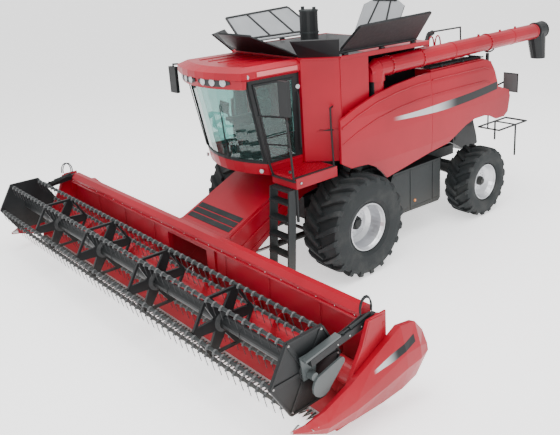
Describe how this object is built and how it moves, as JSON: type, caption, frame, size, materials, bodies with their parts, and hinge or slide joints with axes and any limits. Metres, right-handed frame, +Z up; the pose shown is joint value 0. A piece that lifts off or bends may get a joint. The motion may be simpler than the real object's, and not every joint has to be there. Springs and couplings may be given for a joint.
{
  "type": "combine harvester",
  "caption": "Self-propelled combine harvester with a cutting header and reel, glazed cab, open grain tank, folded unloading tube and steered rear wheels.",
  "frame": {"origin": "middle of the overall length and width, on the ground under the wheels", "axes": "+Z up, -Y the way the machine faces, +X its left side"},
  "size_m": [9.3006, 10.7644, 4.6328],
  "materials": {
    "bare_steel": "ground steel",
    "black_steel": "satin black paint",
    "cab_glass": "tinted glass",
    "dark_grey": "dark grey paint",
    "red_paint": "gloss red paint",
    "seat_fabric": "dark cloth and plastic",
    "silver_rim": "silver paint",
    "tyre_rubber": "dusty black rubber"
  },
  "bodies": {
    "machine": {"chassis_frame": "dark_grey", "front_axle": "dark_grey", "rear_axle": "dark_grey", "separator_housing": "black_steel", "grain_tank": "red_paint", "rear_body": "red_paint", "engine_block": "dark_grey", "chopper_housing": "black_steel", "cab_base": "red_paint", "cab_frame": "black_steel", "windshield": "cab_glass", "cab_glass_right": "cab_glass", "cab_roof": "red_paint", "operator_station": "seat_fabric", "access_platform": "red_paint", "platform_rails": "black_steel", "rear_rails": "black_steel"},
    "front_wheel_left": {"rim_front_left": "silver_rim", "tyre_front_left": "tyre_rubber"},
    "knuckle_left": {"knuckle_left": "dark_grey"},
    "rear_wheel_left": {"rim_rear_left": "silver_rim", "tyre_rear_left": "tyre_rubber"},
    "front_wheel_right": {"rim_front_right": "silver_rim", "tyre_front_right": "tyre_rubber"},
    "knuckle_right": {"knuckle_right": "dark_grey"},
    "rear_wheel_right": {"rim_rear_right": "silver_rim", "tyre_rear_right": "tyre_rubber"},
    "side_panel_front_left": {"side_panel_front_left": "red_paint"},
    "side_panel_front_right": {"side_panel_front_right": "red_paint"},
    "side_panel_rear_left": {"side_panel_rear_left": "red_paint"},
    "side_panel_rear_right": {"side_panel_rear_right": "red_paint"},
    "cab_door": {"door_frame": "black_steel", "door_glass": "cab_glass"},
    "ladder": {"ladder": "dark_grey"},
    "unloader": {"unload_tube": "red_paint", "unload_spout": "black_steel"},
    "tank_cover_left": {"tank_cover_left": "black_steel"},
    "tank_cover_right": {"tank_cover_right": "black_steel"},
    "tank_cover_front": {"tank_cover_front": "black_steel"},
    "tank_cover_rear": {"tank_cover_rear": "black_steel"},
    "fill_auger": {"fill_auger": "black_steel"},
    "feeder": {"feeder_house": "red_paint", "header_frame": "red_paint", "divider_left": "red_paint", "divider_right": "red_paint"},
    "lift_barrels": {"lift_barrels": "black_steel"},
    "lift_rods": {"lift_rods": "bare_steel"},
    "intake_auger": {"intake_auger": "red_paint"},
    "reel_arms": {"reel_arm_left": "black_steel", "reel_arm_right": "black_steel"},
    "reel_carriers": {"reel_carrier_left": "black_steel", "reel_carrier_right": "black_steel"},
    "reel": {"reel": "black_steel"},
    "tine_bar_1": {"tine_bar_1": "dark_grey"},
    "tine_bar_2": {"tine_bar_2": "dark_grey"},
    "tine_bar_3": {"tine_bar_3": "dark_grey"},
    "tine_bar_4": {"tine_bar_4": "dark_grey"},
    "tine_bar_5": {"tine_bar_5": "dark_grey"},
    "tine_bar_6": {"tine_bar_6": "dark_grey"}
  },
  "joints": [
    {"name": "front_wheel_left_spin", "type": "hinge", "parent": "machine", "child": "front_wheel_left", "pos_m": [1.45, -1.192, 0.93], "axis": [-1, 0, 0], "continuous": true},
    {"name": "steer_left", "type": "hinge", "parent": "machine", "child": "knuckle_left", "pos_m": [1, 2.588, 0.75], "axis": [0, 0, 1], "range_deg": [-40, 40]},
    {"name": "rear_wheel_left_spin", "type": "hinge", "parent": "knuckle_left", "child": "rear_wheel_left", "pos_m": [1.44, 2.588, 0.75], "axis": [-1, 0, 0], "continuous": true},
    {"name": "front_wheel_right_spin", "type": "hinge", "parent": "machine", "child": "front_wheel_right", "pos_m": [-1.45, -1.192, 0.93], "axis": [-1, 0, 0], "continuous": true},
    {"name": "steer_right", "type": "hinge", "parent": "machine", "child": "knuckle_right", "pos_m": [-1, 2.588, 0.75], "axis": [0, 0, 1], "range_deg": [-40, 40]},
    {"name": "rear_wheel_right_spin", "type": "hinge", "parent": "knuckle_right", "child": "rear_wheel_right", "pos_m": [-1.44, 2.588, 0.75], "axis": [-1, 0, 0], "continuous": true},
    {"name": "side_panel_front_left_lift", "type": "hinge", "parent": "machine", "child": "side_panel_front_left", "pos_m": [1.49, 0.408, 3.36], "axis": [0, -1, 0], "range_deg": [0, 60]},
    {"name": "side_panel_front_right_lift", "type": "hinge", "parent": "machine", "child": "side_panel_front_right", "pos_m": [-1.49, 0.408, 3.36], "axis": [0, 1, 0], "range_deg": [0, 60]},
    {"name": "side_panel_rear_left_lift", "type": "hinge", "parent": "machine", "child": "side_panel_rear_left", "pos_m": [1.49, 1.608, 3.36], "axis": [0, -1, 0], "range_deg": [0, 60]},
    {"name": "side_panel_rear_right_lift", "type": "hinge", "parent": "machine", "child": "side_panel_rear_right", "pos_m": [-1.49, 1.608, 3.36], "axis": [0, 1, 0], "range_deg": [0, 60]},
    {"name": "cab_door_swing", "type": "hinge", "parent": "machine", "child": "cab_door", "pos_m": [0.895, -1.946, 2.9], "axis": [0, 0, 1], "range_deg": [0, 85]},
    {"name": "ladder_swing", "type": "hinge", "parent": "machine", "child": "ladder", "pos_m": [1.475, -2.507, 1.2], "axis": [0, 0, 1], "range_deg": [0, 90]},
    {"name": "unloader_swing", "type": "hinge", "parent": "machine", "child": "unloader", "pos_m": [1.28, -0.392, 3.59], "axis": [0, 0, -1], "range_deg": [0, 100]},
    {"name": "tank_cover_left_fold", "type": "hinge", "parent": "machine", "child": "tank_cover_left", "pos_m": [1.36, -0.392, 3.985], "axis": [0, -1, 0], "range_deg": [0, 138]},
    {"name": "tank_cover_right_fold", "type": "hinge", "parent": "machine", "child": "tank_cover_right", "pos_m": [-1.36, -0.392, 3.985], "axis": [0, 1, 0], "range_deg": [0, 138]},
    {"name": "tank_cover_front_fold", "type": "hinge", "parent": "machine", "child": "tank_cover_front", "pos_m": [0, -1.802, 3.935], "axis": [-1, 0, 0], "range_deg": [0, 150]},
    {"name": "tank_cover_rear_fold", "type": "hinge", "parent": "machine", "child": "tank_cover_rear", "pos_m": [0, 0.978, 3.935], "axis": [1, 0, 0], "range_deg": [0, 120]},
    {"name": "fill_auger_fold", "type": "hinge", "parent": "machine", "child": "fill_auger", "pos_m": [0.02, -0.772, 3.3], "axis": [-1, 0, 0], "range_deg": [0, 90]},
    {"name": "feeder_lift", "type": "hinge", "parent": "machine", "child": "feeder", "pos_m": [0, -1.492, 1.75], "axis": [-1, 0, 0], "range_deg": [0, 22]},
    {"name": "lift_barrels_swing", "type": "hinge", "parent": "machine", "child": "lift_barrels", "pos_m": [0, -1.312, 0.5], "axis": [-1, 0, 0], "range_deg": [0, 17.3]},
    {"name": "lift_rods_slide", "type": "slide", "parent": "lift_barrels", "child": "lift_rods", "axis": [0, -0.9996, 0.0267], "range_m": [0, 0.461]},
    {"name": "intake_auger_spin", "type": "hinge", "parent": "feeder", "child": "intake_auger", "pos_m": [0, -4.052, 0.5], "axis": [-1, 0, 0], "continuous": true},
    {"name": "reel_lift", "type": "hinge", "parent": "feeder", "child": "reel_arms", "pos_m": [0, -3.792, 1.27], "axis": [-1, 0, 0], "range_deg": [0, 28]},
    {"name": "reel_slide", "type": "slide", "parent": "reel_arms", "child": "reel_carriers", "axis": [0, -0.9874, -0.158], "range_m": [0, 0.3]},
    {"name": "reel_spin", "type": "hinge", "parent": "reel_carriers", "child": "reel", "pos_m": [0, -4.832, 0.97], "axis": [-1, 0, 0], "continuous": true},
    {"name": "tine_bar_1_turn", "type": "hinge", "parent": "reel", "child": "tine_bar_1", "pos_m": [0, -4.332, 0.97], "axis": [-1, 0, 0], "continuous": true},
    {"name": "tine_bar_2_turn", "type": "hinge", "parent": "reel", "child": "tine_bar_2", "pos_m": [0, -4.582, 1.40301], "axis": [-1, 0, 0], "continuous": true},
    {"name": "tine_bar_3_turn", "type": "hinge", "parent": "reel", "child": "tine_bar_3", "pos_m": [0, -5.082, 1.40301], "axis": [-1, 0, 0], "continuous": true},
    {"name": "tine_bar_4_turn", "type": "hinge", "parent": "reel", "child": "tine_bar_4", "pos_m": [0, -5.332, 0.97], "axis": [-1, 0, 0], "continuous": true},
    {"name": "tine_bar_5_turn", "type": "hinge", "parent": "reel", "child": "tine_bar_5", "pos_m": [0, -5.082, 0.53699], "axis": [-1, 0, 0], "continuous": true},
    {"name": "tine_bar_6_turn", "type": "hinge", "parent": "reel", "child": "tine_bar_6", "pos_m": [0, -4.582, 0.53699], "axis": [-1, 0, 0], "continuous": true}
  ],
  "couplings": [
    {"joint": "steer_right", "follows": "steer_left", "ratio": 1},
    {"joint": "tank_cover_front_fold", "follows": "tank_cover_left_fold", "ratio": 1.0869},
    {"joint": "tank_cover_rear_fold", "follows": "tank_cover_left_fold", "ratio": 0.8695},
    {"joint": "tank_cover_right_fold", "follows": "tank_cover_left_fold", "ratio": 1},
    {"joint": "fill_auger_fold", "follows": "tank_cover_left_fold", "ratio": 0.6521},
    {"joint": "lift_barrels_swing", "follows": "feeder_lift", "ratio": 0.7846},
    {"joint": "lift_rods_slide", "follows": "feeder_lift", "m_per_rad": 1.1993},
    {"joint": "tine_bar_1_turn", "follows": "reel_spin", "ratio": -1},
    {"joint": "tine_bar_2_turn", "follows": "reel_spin", "ratio": -1},
    {"joint": "tine_bar_3_turn", "follows": "reel_spin", "ratio": -1},
    {"joint": "tine_bar_4_turn", "follows": "reel_spin", "ratio": -1},
    {"joint": "tine_bar_5_turn", "follows": "reel_spin", "ratio": -1},
    {"joint": "tine_bar_6_turn", "follows": "reel_spin", "ratio": -1}
  ]
}
